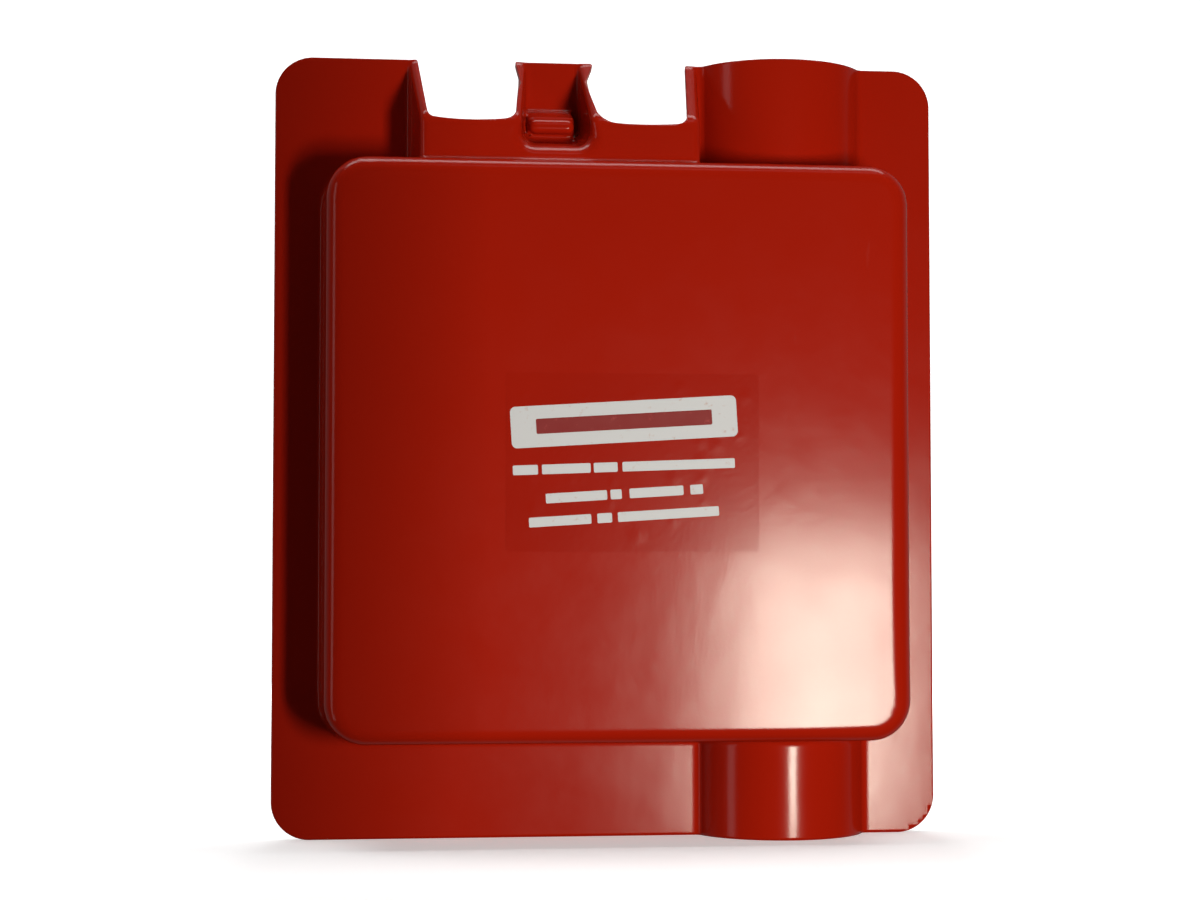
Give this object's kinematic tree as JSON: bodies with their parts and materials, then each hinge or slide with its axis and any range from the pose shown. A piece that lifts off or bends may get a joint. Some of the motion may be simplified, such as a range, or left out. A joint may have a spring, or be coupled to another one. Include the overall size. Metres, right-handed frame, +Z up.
{
  "type": "emergency release point",
  "caption": "Square raised red cover with hose notches and a post channel, over a wall-mounted three-way air valve with a sealed release lever.",
  "frame": {"origin": "on the wall plane, behind the centre of the cover's 300 by 350 mm flange; this point is on the mounting plate's back face", "axes": "+Z up, -Y out of the wall towards the person, +X to that person's right; +Y points into the wall"},
  "size_m": [0.3, 0.0507, 0.35],
  "materials": {
    "cover": "deep red, glossy thermoformed sheet",
    "label_film": "thin red self-adhesive film, satin",
    "zinc_plate": "zinc-plated sheet steel",
    "valve_casting": "bead-blasted casting",
    "brass_fitting": "machined brass",
    "ptfe": "waxy white",
    "sintered_bronze": "rough sintered bronze",
    "seal_plastic": "yellow moulded plastic",
    "zinc_fastener": "bright zinc plating",
    "polished_ball": "polished plated ball",
    "stem_steel": "turned stainless steel",
    "lever_steel": "black powder coat",
    "grip_rubber": "soft red moulded sleeve",
    "o_ring": "matt black",
    "collar_plastic": "blue moulded plastic",
    "hook_pad": "black hook tape",
    "loop_pad": "black loop tape"
  },
  "bodies": {
    "base": {"mounting_plate": "zinc_plate", "valve_body": "valve_casting", "gland_nut": "brass_fitting", "stem_packing": "ptfe", "silencer": "sintered_bronze", "seal_tag": "seal_plastic", "valve_screw_upper": "zinc_fastener", "valve_screw_lower": "zinc_fastener", "stop_pin_closed": "zinc_fastener", "stop_pin_open": "zinc_fastener", "seat_ring_inlet": "ptfe", "elbow_inlet": "brass_fitting", "tube_seal_inlet": "o_ring", "seat_ring_outlet": "ptfe", "elbow_outlet": "brass_fitting", "tube_seal_outlet": "o_ring", "wall_pad_top_left": "hook_pad", "wall_pad_top_right": "hook_pad", "wall_pad_bottom_left": "hook_pad", "wall_pad_bottom_right": "hook_pad"},
    "cover": {"cover_shell": "cover", "label_film": "label_film", "cover_pad_top_left": "loop_pad", "cover_pad_top_right": "loop_pad", "cover_pad_bottom_left": "loop_pad", "cover_pad_bottom_right": "loop_pad"},
    "lever": {"valve_ball": "polished_ball", "valve_stem": "stem_steel", "release_lever": "lever_steel", "lever_grip": "grip_rubber", "lever_washer": "zinc_fastener", "lever_nut": "zinc_fastener", "seal_shackle": "seal_plastic"},
    "inlet_collar": {"release_collar_inlet": "collar_plastic"},
    "outlet_collar": {"release_collar_outlet": "collar_plastic"}
  },
  "joints": [
    {"name": "cover_lift", "type": "slide", "parent": "base", "child": "cover", "axis": [0, -1, 0], "range_m": [0, 0.15]},
    {"name": "lever_turn", "type": "hinge", "parent": "base", "child": "lever", "pos_m": [-0.0265, -0.0314, 0.03], "axis": [0, 1, 0], "range_deg": [0, 90]},
    {"name": "inlet_collar_press", "type": "slide", "parent": "base", "child": "inlet_collar", "axis": [0, 0, -1], "range_m": [0, 0.0012]},
    {"name": "outlet_collar_press", "type": "slide", "parent": "base", "child": "outlet_collar", "axis": [0, 0, -1], "range_m": [0, 0.0012]}
  ]
}
